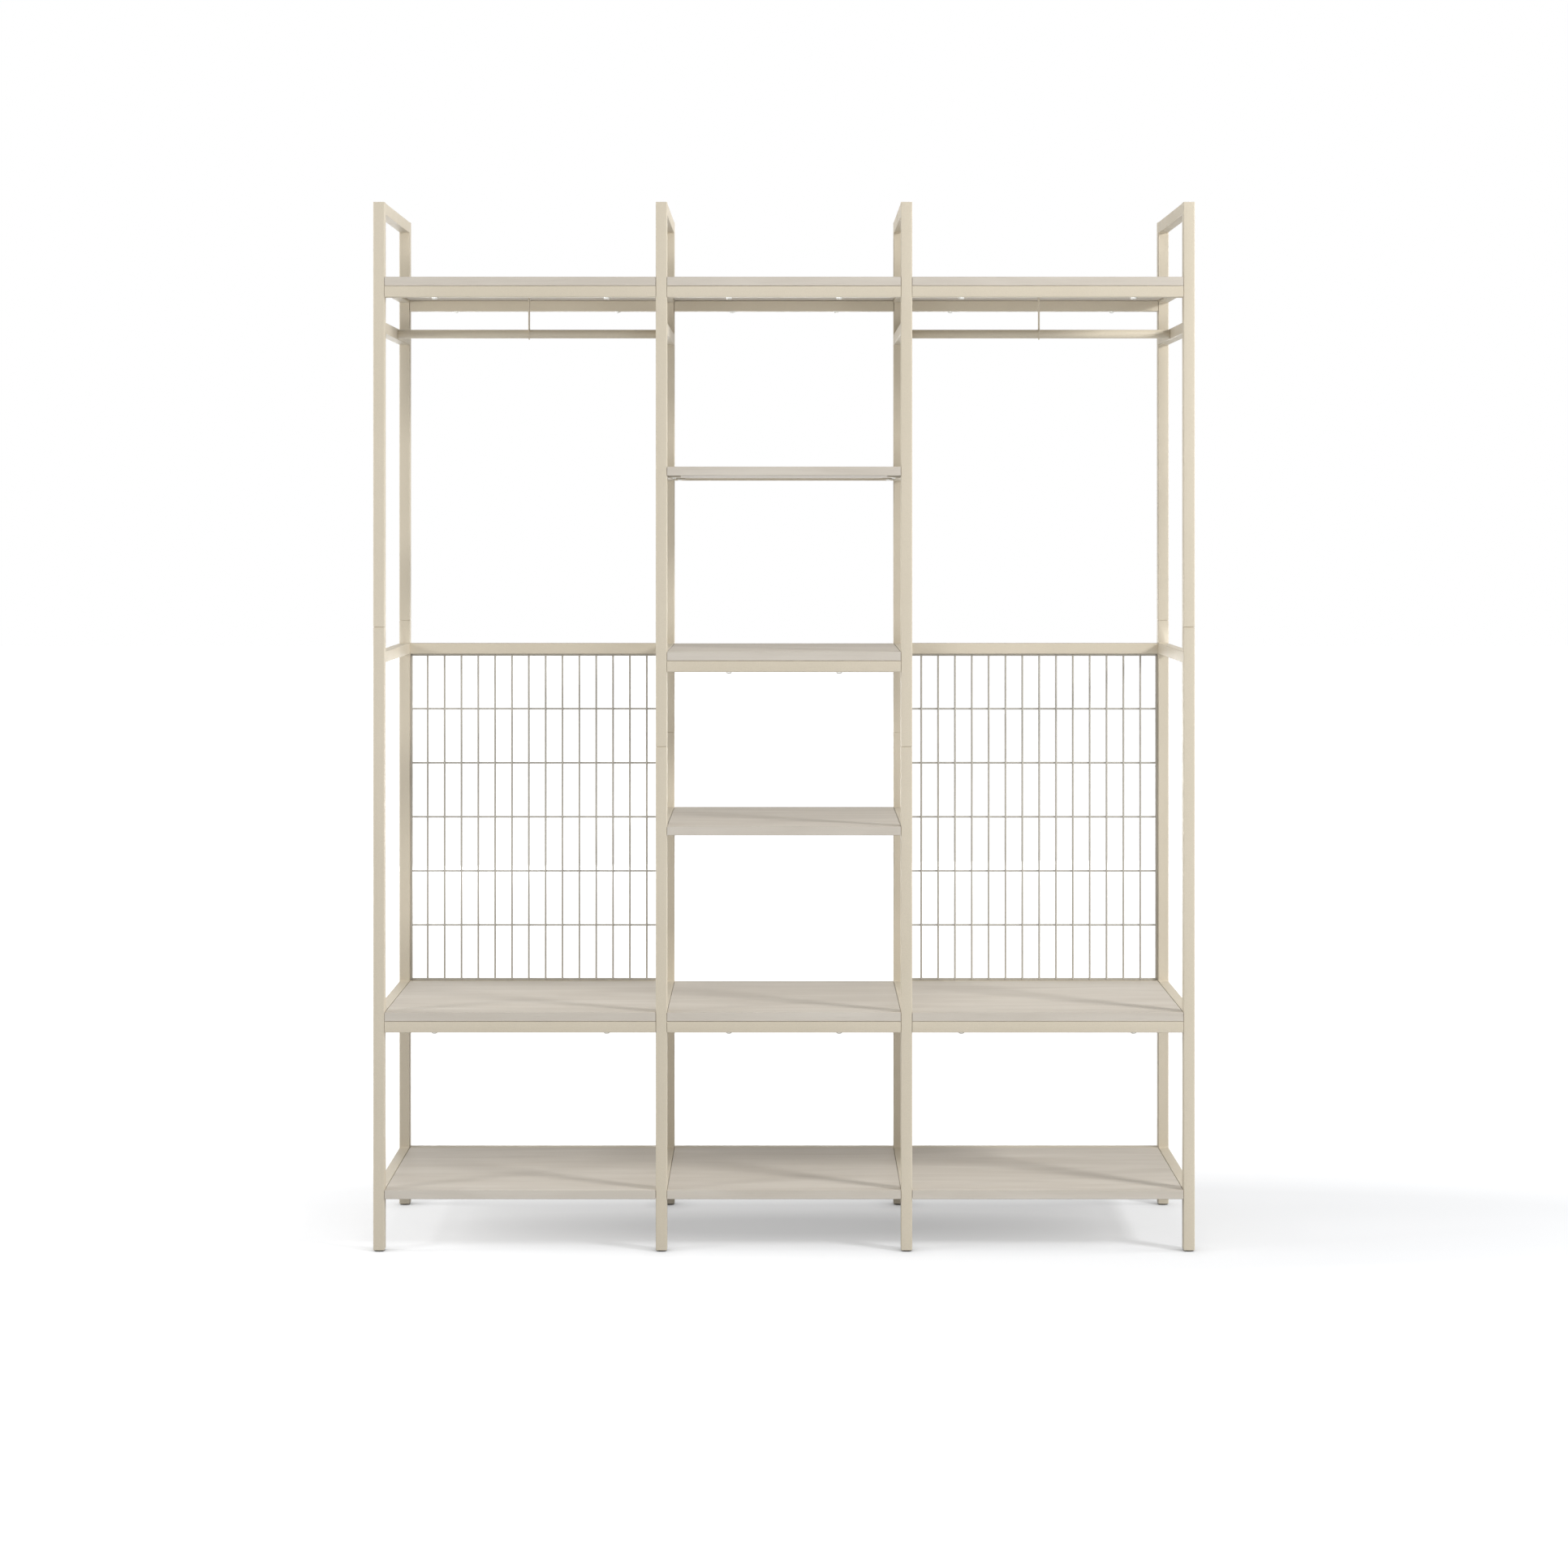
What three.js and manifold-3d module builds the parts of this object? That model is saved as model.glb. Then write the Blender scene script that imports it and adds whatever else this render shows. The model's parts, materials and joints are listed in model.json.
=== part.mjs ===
// Open frame wardrobe: four ladder-shaped side frames of square steel tube, tied together by cross rails of the
// same tube, with laminated shelf panels, two hanging rods and two welded wire grids behind the side bays.
// Millimetres, +Z up. The open front faces -Y, +X is to the right. The origin is on the floor, below the centre.

import * as THREE from 'three';
import { mergeVertices } from 'three/addons/utils/BufferGeometryUtils.js';
import Module from 'manifold-3d';

// Square tube of frames and rails
const tube = 25;
const tubeWall = 1.5;
const tubeCorner = 1.4;

// Clear widths between side frames, and depth over the posts
const sideBayWidth = 604;
const centreBayWidth = 521;
const overallDepth = 457;

// Heights from the floor up: each one is the clear space under the next rung, rail or shelf
const legHeight = 112;
const bottomBayHeight = 350.5;
const centreShelfClearance = 389;
const belowMiddleShelf = 343.5;
const upperShelfClearance = 387;
const belowTopShelf = 377.5;
const topLoopHeight = 141.6;

// Hanging rods: how far below the top panel they hang, on rungs of their own, and the plugs that hold their ends
const rodDrop = 93;
const rodDiameter = 20;
const rodWall = 1.2;
const rodPlugLength = 18;

// Where the side frames part into a lower and an upper half, and the sleeve that joins the halves
const endSeamRise = 54.5;
const innerSeamRise = 177;
const sleeveLength = 120;
const sleeveWall = 2;

// Shelf panels
const panelThickness = 20;
const panelEdge = 0.8;
const panelSideGap = 0.5;

// Tabs welded to the rungs, under the panels that have no rail on that edge
const tabWidth = 28;
const tabLength = 40;
const tabThickness = 3;
const tabInset = 45;
const tabScrew = 5;

// Holes for the bolts that pull the panels down on their rails
const boltShank = 6;
const boltGrip = 12;
const boltInsetSide = 110;
const boltInsetCentre = 137.5;

// Spigots on the posts, which the open rail ends slip over
const spigotLength = 20;

// Wire grids: upright wires lie in front of the level ones, both welded into a square bar
const gridBar = 5;
const gridUprightWire = 4.5;
const gridLevelWire = 4;
const gridWirePitch = 40.1;
const gridRows = 6;
const gridWeld = 0.5;
const gridPin = 3;
const gridPinLength = 4;
const gridPinInset = 150;

// Straps that carry the rods at mid-span
const strapThickness = 2;
const strapRim = 2.7;
const strapFlange = 30;

// Levelling feet, shown screwed home, and the threaded inserts that take them
const footPad = 24;
const footPadHeight = 3;
const footPadEdge = 0.8;
const footStud = 8;
const footStudLength = 30;
const footInsertHeight = 22;

// Gap between pieces that touch, play round a bolt or stud, and how far a cutting tool runs past the surface
const touchGap = 0.3;
const boltPlay = 0.3;
const overrun = 1;

// Number of flats on the round pieces
const wireSides = 6;
const holeSides = 6;
const footSides = 12;
const rodSides = 16;

// Levels worked out from the heights above
const half = tube / 2;
const postFoot = footPadHeight + touchGap;
const railStack = tube + touchGap + panelThickness;
const shelfTop = {};
shelfTop.bottom = legHeight + tube;
shelfTop.lower = shelfTop.bottom + bottomBayHeight + railStack;
shelfTop.centre = shelfTop.lower + centreShelfClearance + tube;
shelfTop.middle = shelfTop.centre + belowMiddleShelf + railStack;
shelfTop.upper = shelfTop.middle + upperShelfClearance + tube;
shelfTop.top = shelfTop.upper + belowTopShelf + railStack;
const overallHeight = shelfTop.top + topLoopHeight + tube;
const rodLevel = shelfTop.top - panelThickness - rodDrop;

// Places across the width and the depth
const innerFrameX = centreBayWidth / 2 + half;
const endFrameX = innerFrameX + sideBayWidth + tube;
const frontY = -overallDepth / 2;
const backY = overallDepth / 2;
const frontPostY = frontY + half;
const backPostY = backY - half;
const postPlaces = [frontPostY, backPostY];
const postSpan = backPostY - frontPostY;
const bore = tube - 2 * tubeWall;
const plugWidth = bore - 2 * touchGap;

const sideBayX = (innerFrameX + endFrameX) / 2;
const bays = {
  left: { centre: -sideBayX, width: sideBayWidth, boltInset: boltInsetSide },
  centre: { centre: 0, width: centreBayWidth, boltInset: boltInsetCentre },
  right: { centre: sideBayX, width: sideBayWidth, boltInset: boltInsetSide },
};
const allBays = ['left', 'centre', 'right'];
const sideBays = ['left', 'right'];

// Materials
function finish(colour, roughness, metalness) {
  return new THREE.MeshStandardMaterial({ color: colour, roughness, metalness });
}

const coatedSteel = () => finish(0xd9cfbb, 0.55, 0.1);
const woodLaminate = () => finish(0xd2c9bd, 0.6, 0);
const zincSteel = () => finish(0xb9bcc0, 0.4, 0.8);
const darkNylon = () => finish(0x55524d, 0.7, 0);

// Solids: a three.js geometry becomes a closed solid for joining and cutting, and goes back to a geometry
const wasm = await Module();
wasm.setup();

function solid(geometry) {
  geometry.deleteAttribute('normal');
  geometry.deleteAttribute('uv');
  const merged = mergeVertices(geometry);
  return new wasm.Manifold(new wasm.Mesh({
    numProp: 3,
    vertProperties: new Float32Array(merged.attributes.position.array),
    triVerts: new Uint32Array(merged.index.array),
  }));
}

function geometryOf(body) {
  const mesh = body.getMesh();
  const geometry = new THREE.BufferGeometry();
  geometry.setAttribute('position', new THREE.BufferAttribute(mesh.vertProperties, 3));
  geometry.setIndex(new THREE.BufferAttribute(mesh.triVerts, 1));
  geometry.computeVertexNormals();
  return geometry;
}

function joined(parts) {
  return parts.reduce((whole, part) => whole.add(part));
}

// Basic forms
function block(width, depth, height, x, y, z) {
  return solid(new THREE.BoxGeometry(width, depth, height).translate(x, y, z));
}

// A square column of the given width, from one height to another
function column(width, low, high, y) {
  return block(width, width, high - low, 0, y, (low + high) / 2);
}

// The tube's outline, with each rounded corner as one flat
function tubeOutline() {
  const outline = new THREE.Shape();
  const flat = half - tubeCorner;
  outline.moveTo(-flat, -half);
  outline.lineTo(flat, -half);
  outline.lineTo(half, -flat);
  outline.lineTo(half, flat);
  outline.lineTo(flat, half);
  outline.lineTo(-flat, half);
  outline.lineTo(-half, flat);
  outline.lineTo(-half, -flat);
  outline.closePath();
  return outline;
}

function rectangle(path, width, depth) {
  path.moveTo(-width / 2, -depth / 2);
  path.lineTo(width / 2, -depth / 2);
  path.lineTo(width / 2, depth / 2);
  path.lineTo(-width / 2, depth / 2);
  path.closePath();
  return path;
}

function tubeBar(length) {
  return new THREE.ExtrudeGeometry(tubeOutline(), { depth: length, bevelEnabled: false });
}

function openTube(length) {
  const outline = tubeOutline();
  outline.holes.push(rectangle(new THREE.Path(), bore, bore));
  return new THREE.ExtrudeGeometry(outline, { depth: length, bevelEnabled: false });
}

function uprightCylinder(radius, length, sides) {
  return new THREE.CylinderGeometry(radius, radius, length, sides).rotateX(Math.PI / 2);
}

function crosswiseCylinder(radius, length, sides) {
  return new THREE.CylinderGeometry(radius, radius, length, sides).rotateZ(Math.PI / 2);
}

// A hole along Z whose flats stay clear of the round piece that it takes
function uprightHole(diameter, low, high, x, y, sides = holeSides) {
  const radius = (diameter / 2 + boltPlay) / Math.cos(Math.PI / sides);
  return solid(uprightCylinder(radius, high - low, sides).translate(x, y, (low + high) / 2));
}

// Rails run between two posts at the front or the back of a bay, under the shelf panel or flush with its top
const rails = [];

function addRails(name, bayNames, y, level, seat) {
  const bottom = shelfTop[level] - (seat === 'under' ? railStack : tube);
  for (const bay of bayNames) {
    rails.push({ name: bayNames.length > 1 ? `${name}_${bay}` : name, bay, y, level, seat, centre: bottom + half });
  }
}

addRails('rail_top_front', allBays, frontPostY, 'top', 'under');
addRails('rail_top_back', allBays, backPostY, 'top', 'under');
addRails('rail_upper_back', ['centre'], backPostY, 'upper', 'flush');
addRails('rail_middle_front', ['centre'], frontPostY, 'middle', 'under');
addRails('rail_grid_top', sideBays, backPostY, 'middle', 'flush');
addRails('rail_lower_front', allBays, frontPostY, 'lower', 'under');
addRails('rail_grid_bottom', sideBays, backPostY, 'lower', 'flush');
addRails('rail_bottom_back', allBays, backPostY, 'bottom', 'flush');

// Shelves: where each has tabs below it, at the front (-1) or the back (1). The top ones lie on both their rails,
// and the others end at the front of the back posts.
const shelfDepth = overallDepth - tube - touchGap;
const shelves = [];

function addShelves(name, bayNames, level, depth, tabs) {
  for (const bay of bayNames) {
    shelves.push({ name: bayNames.length > 1 ? `${name}_${bay}` : name, bay, level, depth, tabs });
  }
}

addShelves('shelf_top', allBays, 'top', overallDepth, []);
addShelves('shelf_upper', ['centre'], 'upper', shelfDepth, [-1, 1]);
addShelves('shelf_middle', ['centre'], 'middle', shelfDepth, [1]);
addShelves('shelf_centre', ['centre'], 'centre', shelfDepth, [-1, 1]);
addShelves('shelf_lower', allBays, 'lower', shelfDepth, [1]);
addShelves('shelf_bottom', allBays, 'bottom', shelfDepth, [-1, 1]);

// Side frames: the bay on each side of them, their rungs and their seam
const commonRungs = [
  shelfTop.bottom, shelfTop.lower, shelfTop.middle, rodLevel + half, shelfTop.top, overallHeight,
];
const innerRungs = [...commonRungs, shelfTop.centre, shelfTop.upper];
const endSeam = shelfTop.middle + endSeamRise;
const innerSeam = shelfTop.centre + innerSeamRise;
const endFrame = { rungs: commonRungs, seam: endSeam };
const innerFrame = { rungs: innerRungs, seam: innerSeam };
const sideFrames = [
  { name: 'end_left', x: -endFrameX, sides: [[1, 'left']], ...endFrame },
  { name: 'inner_left', x: -innerFrameX, sides: [[-1, 'left'], [1, 'centre']], ...innerFrame },
  { name: 'inner_right', x: innerFrameX, sides: [[-1, 'centre'], [1, 'right']], ...innerFrame },
  { name: 'end_right', x: endFrameX, sides: [[-1, 'right']], ...endFrame },
];

// What is welded to the bay side of a frame: spigots for the rails, plugs for the rod and tabs for the panels
const tabReach = tabWidth + tubeWall / 2;
const tabY = { '-1': frontY + tube + tabInset, 1: backY - tube - tabInset };

function tabsOf(bay) {
  return shelves.filter((shelf) => shelf.bay === bay).flatMap((shelf) => shelf.tabs.map((end) => (
    { y: tabY[end], z: shelfTop[shelf.level] - panelThickness - touchGap - tabThickness / 2 })));
}

function weldedTo(side, bay, within) {
  const parts = [];
  for (const rail of rails.filter((r) => r.bay === bay && within(r.centre))) {
    const reach = spigotLength + tubeWall / 2;
    const x = side * (half - tubeWall / 2 + reach / 2);
    parts.push(block(reach, plugWidth, plugWidth, x, rail.y, rail.centre));
  }
  for (const tab of tabsOf(bay).filter((t) => within(t.z))) {
    const x = side * (half - tubeWall / 2 + tabReach / 2);
    parts.push(block(tabReach, tabLength, tabThickness, x, tab.y, tab.z));
  }
  if (sideBays.includes(bay) && within(rodLevel)) {
    const reach = rodPlugLength + tubeWall / 2;
    const x = side * (half - tubeWall / 2 + reach / 2);
    const radius = rodDiameter / 2 - rodWall - touchGap;
    parts.push(solid(crosswiseCylinder(radius, reach, rodSides).translate(x, 0, rodLevel)));
  }
  return parts;
}

function screwHoles(side, bay, within) {
  const x = side * (half + tabWidth / 2);
  return tabsOf(bay).filter((tab) => within(tab.z)).map((tab) => (
    uprightHole(tabScrew, tab.z - tabThickness, tab.z + tabThickness, x, tab.y)));
}

// Half a side frame: two posts and their rungs, hollow all through
function ladderHalf(frame, low, high, cuts) {
  const within = (z) => z > low && z < high;
  const shell = [];
  const hollow = [...cuts];
  for (const y of postPlaces) {
    shell.push(solid(tubeBar(high - low).translate(0, y, low)));
  }
  for (const top of frame.rungs.filter((rung) => within(rung - half))) {
    const rung = tubeBar(postSpan).rotateX(-Math.PI / 2).translate(0, frontPostY, top - half);
    shell.push(solid(rung));
    hollow.push(block(bore, postSpan, bore, 0, 0, top - half));
  }
  for (const [side, bay] of frame.sides) {
    shell.push(...weldedTo(side, bay, within));
    hollow.push(...screwHoles(side, bay, within));
  }
  return joined(shell).subtract(joined(hollow));
}

// The lower half ends in sleeves, welded in, which the upper half slips over
function lowerHalf(frame) {
  const high = frame.seam - touchGap / 2;
  const sleeveLow = frame.seam - sleeveLength / 2;
  const sleeveHigh = frame.seam + sleeveLength / 2;
  const sleeveBore = plugWidth - 2 * sleeveWall;
  const cuts = postPlaces.map((y) => column(bore, postFoot - overrun, sleeveLow, y));
  const body = ladderHalf(frame, postFoot, high, cuts);
  const sleeves = postPlaces.map((y) => column(plugWidth, sleeveLow, sleeveHigh, y));
  const sleeveCuts = postPlaces.map((y) => column(sleeveBore, sleeveLow - overrun, sleeveHigh + overrun, y));
  return geometryOf(joined([body, ...sleeves]).subtract(joined(sleeveCuts)));
}

function upperHalf(frame) {
  const low = frame.seam + touchGap / 2;
  const cuts = postPlaces.map((y) => column(bore, low - overrun, overallHeight - tubeWall, y));
  return geometryOf(ladderHalf(frame, low, overallHeight, cuts));
}

// A cross rail, open at both ends, with holes for the panel bolts or for the pins of a grid
function fromCentre(bay, inset) {
  const reach = bay.width / 2 - inset;
  return [-reach, reach];
}

function crossRail(rail) {
  const bay = bays[rail.bay];
  const length = bay.width - 2 * touchGap;
  const geometry = openTube(length).rotateY(Math.PI / 2).translate(-length / 2, 0, 0);
  const holes = [];
  if (rail.seat === 'under') {
    holes.push(...fromCentre(bay, bay.boltInset).map((x) => uprightHole(boltShank, -tube, tube, x, 0)));
  }
  if (rail.name.startsWith('rail_grid')) {
    const [low, high] = rail.level === 'lower' ? [0, tube] : [-tube, 0];
    holes.push(...fromCentre(bay, gridPinInset).map((x) => uprightHole(gridPin, low, high, x, 0)));
  }
  return holes.length > 0 ? geometryOf(solid(geometry).subtract(joined(holes))) : geometry;
}

// A shelf panel with eased edges, drilled from below where bolts come up through the rails
function shelfPanel(shelf) {
  const bay = bays[shelf.bay];
  const width = bay.width - 2 * (panelSideGap + panelEdge);
  const outline = rectangle(new THREE.Shape(), width, shelf.depth - 2 * panelEdge);
  const geometry = new THREE.ExtrudeGeometry(outline, {
    depth: panelThickness - 2 * panelEdge, bevelEnabled: true, bevelSize: panelEdge,
    bevelThickness: panelEdge, bevelSegments: 1, curveSegments: 1,
  });
  geometry.translate(0, 0, panelEdge);
  const under = rails.filter((rail) => (
    rail.seat === 'under' && rail.bay === shelf.bay && rail.level === shelf.level));
  const holes = under.flatMap((rail) => fromCentre(bay, bay.boltInset).map((x) => (
    uprightHole(boltShank, -overrun, boltGrip, x, rail.y - frontY - shelf.depth / 2))));
  return holes.length > 0 ? geometryOf(solid(geometry).subtract(joined(holes))) : geometry;
}

// A hanging rod along X
function hangingRod(length) {
  const outline = new THREE.Shape();
  outline.absarc(0, 0, rodDiameter / 2, 0, 2 * Math.PI);
  const hole = new THREE.Path();
  hole.absarc(0, 0, rodDiameter / 2 - rodWall, 0, 2 * Math.PI, true);
  outline.holes.push(hole);
  const geometry = new THREE.ExtrudeGeometry(outline, {
    depth: length, bevelEnabled: false, curveSegments: rodSides / 2,
  });
  return geometry.rotateY(Math.PI / 2).translate(-length / 2, 0, 0);
}

// The strap is a hanging plate with a ring round the rod, and a flange bent along the panel above. Both straps
// turn their flange towards the centre bay.
function rodStrap() {
  const ring = rodDiameter / 2 + touchGap + strapRim;
  const eye = (rodDiameter / 2 + touchGap) / Math.cos(Math.PI / rodSides);
  const top = rodDrop - touchGap;
  const outline = new THREE.Shape();
  outline.moveTo(ring, top);
  outline.lineTo(-ring, top);
  outline.absarc(0, 0, ring, Math.PI, 2 * Math.PI);
  outline.closePath();
  const hole = new THREE.Path();
  hole.absarc(0, 0, eye, 0, 2 * Math.PI, true);
  outline.holes.push(hole);
  const plate = new THREE.ExtrudeGeometry(outline, {
    depth: strapThickness, bevelEnabled: false, curveSegments: rodSides / 2,
  });
  plate.translate(0, 0, -strapThickness / 2).rotateX(Math.PI / 2).rotateZ(Math.PI / 2);
  const flange = block(strapFlange, 2 * ring, strapThickness, strapFlange / 2, 0, top - strapThickness / 2);
  return geometryOf(solid(plate).add(flange));
}

// A wire grid between two posts and two rails, with pins up and down into the rails
function wireGrid(bay) {
  const width = bay.width - 2 * touchGap;
  const height = shelfTop.middle - tube - shelfTop.lower - 2 * touchGap;
  const barX = (width - gridBar) / 2;
  const barZ = (height - gridBar) / 2;
  const uprightY = -(gridUprightWire - gridWeld) / 2;
  const levelY = (gridLevelWire - gridWeld) / 2;
  const parts = [];
  for (const side of [-1, 1]) {
    parts.push(block(gridBar, gridBar, height, side * barX, 0, 0));
    parts.push(block(width, gridBar, gridBar, 0, 0, side * barZ));
    for (const x of fromCentre(bay, gridPinInset)) {
      const pin = uprightCylinder(gridPin / 2, gridPinLength + gridBar / 2, wireSides);
      parts.push(solid(pin.translate(x, 0, side * (barZ + gridBar / 4 + gridPinLength / 2))));
    }
  }
  const uprights = Math.round(width / gridWirePitch) - 1;
  for (let i = 0; i < uprights; i += 1) {
    const x = (i - (uprights - 1) / 2) * gridWirePitch;
    parts.push(solid(uprightCylinder(gridUprightWire / 2, 2 * barZ, wireSides).translate(x, uprightY, 0)));
  }
  const rowPitch = 2 * barZ / gridRows;
  for (let row = 1; row < gridRows; row += 1) {
    const wire = crosswiseCylinder(gridLevelWire / 2, 2 * barX, wireSides);
    parts.push(solid(wire.translate(0, levelY, row * rowPitch - barZ)));
  }
  return geometryOf(joined(parts));
}

// A levelling foot: a round pad on the floor with a stud up into the post's insert
function levellingFoot() {
  const profile = [
    [0, 0],
    [footPad / 2 - footPadEdge, 0],
    [footPad / 2, footPadEdge],
    [footPad / 2, footPadHeight - footPadEdge],
    [footPad / 2 - footPadEdge, footPadHeight],
    [footStud / 2, footPadHeight],
    [footStud / 2, footPadHeight + footStudLength],
    [0, footPadHeight + footStudLength],
  ].map(([r, z]) => new THREE.Vector2(r, z));
  return new THREE.LatheGeometry(profile, footSides).rotateX(Math.PI / 2);
}

function footInsert() {
  const plug = block(plugWidth, plugWidth, footInsertHeight, 0, 0, footInsertHeight / 2);
  return geometryOf(plug.subtract(uprightHole(footStud, -overrun, footInsertHeight + overrun, 0, 0, footSides)));
}

// Assembly
const wardrobe = new THREE.Group();

function section() {
  const group = new THREE.Group();
  wardrobe.add(group);
  return group;
}

function place(parent, name, geometry, material, x = 0, y = 0, z = 0) {
  const mesh = new THREE.Mesh(geometry, material);
  mesh.name = name;
  mesh.position.set(x, y, z);
  parent.add(mesh);
  return mesh;
}

const frameGroup = section();
for (const frame of sideFrames) {
  place(frameGroup, `frame_${frame.name}_lower`, lowerHalf(frame), coatedSteel(), frame.x);
  place(frameGroup, `frame_${frame.name}_upper`, upperHalf(frame), coatedSteel(), frame.x);
}

const railGroup = section();
for (const rail of rails) {
  place(railGroup, rail.name, crossRail(rail), coatedSteel(), bays[rail.bay].centre, rail.y, rail.centre);
}

const shelfGroup = section();
for (const shelf of shelves) {
  const y = frontY + shelf.depth / 2;
  const z = shelfTop[shelf.level] - panelThickness;
  place(shelfGroup, shelf.name, shelfPanel(shelf), woodLaminate(), bays[shelf.bay].centre, y, z);
}

const sideBayGroup = section();
const gridLevel = (shelfTop.lower + shelfTop.middle - tube) / 2;
for (const name of sideBays) {
  const bay = bays[name];
  place(sideBayGroup, `grid_panel_${name}`, wireGrid(bay), coatedSteel(), bay.centre, backPostY, gridLevel);
  place(sideBayGroup, `hanging_rod_${name}`, hangingRod(bay.width - 2 * touchGap), coatedSteel(),
    bay.centre, 0, rodLevel);
  const strap = place(sideBayGroup, `rod_strap_${name}`, rodStrap(), coatedSteel(), bay.centre, 0, rodLevel);
  strap.rotation.z = bay.centre < 0 ? 0 : Math.PI;
}

const footGroup = section();
for (const frame of sideFrames) {
  for (const [end, y] of [['front', frontPostY], ['back', backPostY]]) {
    place(footGroup, `foot_${frame.name}_${end}`, levellingFoot(), darkNylon(), frame.x, y);
    place(footGroup, `foot_insert_${frame.name}_${end}`, footInsert(), zincSteel(), frame.x, y, postFoot);
  }
}

export default wardrobe;
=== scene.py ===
"""Open frame wardrobe: finishes, small hardware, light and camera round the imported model.

Metres, +Z up, front to -Y.
"""

import json
import math

import bmesh
import bpy
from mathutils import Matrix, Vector

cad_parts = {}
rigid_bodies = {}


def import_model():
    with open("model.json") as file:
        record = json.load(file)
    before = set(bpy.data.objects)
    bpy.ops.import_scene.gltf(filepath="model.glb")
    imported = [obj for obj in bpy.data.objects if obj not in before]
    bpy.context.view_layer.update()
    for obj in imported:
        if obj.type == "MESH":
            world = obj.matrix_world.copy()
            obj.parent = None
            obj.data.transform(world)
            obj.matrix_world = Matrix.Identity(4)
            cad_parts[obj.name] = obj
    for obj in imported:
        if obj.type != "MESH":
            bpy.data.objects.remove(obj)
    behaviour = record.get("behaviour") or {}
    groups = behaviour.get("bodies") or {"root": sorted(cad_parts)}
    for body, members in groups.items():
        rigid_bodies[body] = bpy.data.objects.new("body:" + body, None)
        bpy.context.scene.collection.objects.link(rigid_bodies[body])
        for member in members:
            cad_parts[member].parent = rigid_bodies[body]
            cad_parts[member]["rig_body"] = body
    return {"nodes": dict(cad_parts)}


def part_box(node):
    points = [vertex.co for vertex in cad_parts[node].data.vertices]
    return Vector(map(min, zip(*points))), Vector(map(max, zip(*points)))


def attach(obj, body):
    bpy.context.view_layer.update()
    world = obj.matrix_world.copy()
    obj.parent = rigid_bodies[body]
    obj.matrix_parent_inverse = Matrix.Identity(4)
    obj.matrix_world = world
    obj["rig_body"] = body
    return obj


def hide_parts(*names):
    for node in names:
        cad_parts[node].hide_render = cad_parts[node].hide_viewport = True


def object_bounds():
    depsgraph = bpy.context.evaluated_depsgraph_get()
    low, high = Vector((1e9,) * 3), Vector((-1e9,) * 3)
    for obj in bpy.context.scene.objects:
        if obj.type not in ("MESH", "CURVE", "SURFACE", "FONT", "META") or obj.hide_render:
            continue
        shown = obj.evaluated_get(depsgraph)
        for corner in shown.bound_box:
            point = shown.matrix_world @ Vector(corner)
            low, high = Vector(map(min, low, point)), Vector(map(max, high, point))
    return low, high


bl_info = {
    "name": "Open Frame Wardrobe",
    "version": (1, 0, 0),
    "blender": (4, 5, 0),
    "location": "View3D > Sidebar > Wardrobe",
    "description": "Powder-coated tube frames, laminated shelves, wire grids and their hardware",
    "category": "Object",
}

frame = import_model()
CAD_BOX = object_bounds()

MM = 0.001
CARCASE = "carcase"
LEAST_GAP = 0.3 * MM
MERGE_GAP = 0.002 * MM

# Angles past which an edge stays crisp
SHARP = math.radians(50)
FASTENER_SHARP = math.radians(35)
BEAD_SHARP = math.radians(80)
ROUND_SIDES = 48

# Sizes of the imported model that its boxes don't give
TUBE = 25 * MM
LEAST_RUNG_FACE = 0.004
TAB_WIDTH, TAB_INSET, TAB_THICK = 28 * MM, 45 * MM, 3 * MM
PANEL_PLAY = 0.5 * MM
STRAP_THICK = 2 * MM
STRAP_SCREW_OFFSET = 6 * MM
STUD_RADIUS, STUD_LENGTH, PAD_THICK = 4 * MM, 30 * MM, 3 * MM

# From the end of a rail to its bolt, by bay
BOLT_INSET = {"left": 110 * MM, "centre": 137.5 * MM, "right": 110 * MM}
BOLTED_RAILS = (
    "rail_top_front_left", "rail_top_front_centre", "rail_top_front_right",
    "rail_top_back_left", "rail_top_back_centre", "rail_top_back_right",
    "rail_middle_front",
    "rail_lower_front_left", "rail_lower_front_centre", "rail_lower_front_right",
)

# Each lamp's power on the stage, its size and its place
LAMPS = {
    "lamp_right": ("right_power", (0.9, 0.9), (4.45, -2.55, 3.34)),
    "lamp_left": ("left_power", (0.35, 0.35), (-2.9, -1.2, 2.0)),
    "lamp_side_right": ("side_power", (1.5, 2.5), (6.7, 0.0, 2.3)),
    "lamp_side_left": ("side_power", (1.5, 2.5), (-6.0, 0.0, 2.2)),
    "lamp_top": ("top_power", (3.0, 2.4), (0.0, -1.6, 5.2)),
    "lamp_low": ("low_power", (4.0, 1.0), (0.5, -7.2, 0.9)),
    "lamp_back": ("back_power", (4.0, 0.8), (-0.5, 7.0, 0.5)),
}
LAMP_AIM = (0, 0, 1.2)

# The floor's glow: its strength at two distances, then the distances. The object's real shadow stays on
# the floor, and the weaker glow beside the wardrobe adds painted shade round it; far off the glow leaves
# the floor evenly white
FLOOR_HALF = 30
GLOW_PLAN = (0.75, 4.0, 1.0)
GLOW_NEAR = (0.41, 0.51, 0.25, 0.65)
GLOW_FAR = (0.0, 0.5, 1.6, 5.0)
# Painted light: the glow is stronger on the left and weaker on the right of the floor
PAINTED_LIGHT_ACROSS = (0.1, -0.1, -1.2, 1.2)
# Reach of the painted contact shade: occlusion dims the glow beside the feet and posts
PAINTED_CONTACT_REACH = 0.06


# Colours

def linear(red, green, blue):
    """A colour read from a screen, 0 to 255, as the shader takes it"""
    def one(value):
        share = value / 255
        return share / 12.92 if share <= 0.04045 else ((share + 0.055) / 1.055) ** 2.4
    return one(red), one(green), one(blue)


def opaque(colour):
    return (*colour, 1.0)


# Sizes and colours that a user would change

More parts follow.
